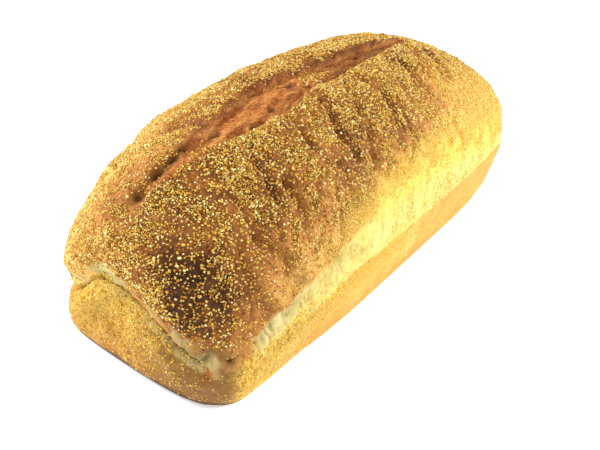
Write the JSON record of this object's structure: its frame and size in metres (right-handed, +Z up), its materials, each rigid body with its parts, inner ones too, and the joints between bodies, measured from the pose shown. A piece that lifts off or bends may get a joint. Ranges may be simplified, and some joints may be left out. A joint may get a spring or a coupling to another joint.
{
  "type": "tin loaf",
  "caption": "Long tin loaf with a flat base, straight tin-baked sides, an overhanging domed crust coated in maize grits and one lengthwise slash.",
  "frame": {"origin": "centre of the outer size, on the flat base that the loaf rests on", "axes": "+Z up, Y along the loaf with the fuller end towards -Y, X across it"},
  "size_m": [0.114, 0.302, 0.1007],
  "materials": {
    "crust": "matte baked crust: brown dome, golden tin-baked sides, cream torn band",
    "grits": "satin maize grits"
  },
  "bodies": {
    "root": {"loaf": "crust"}
  },
  "joints": []
}
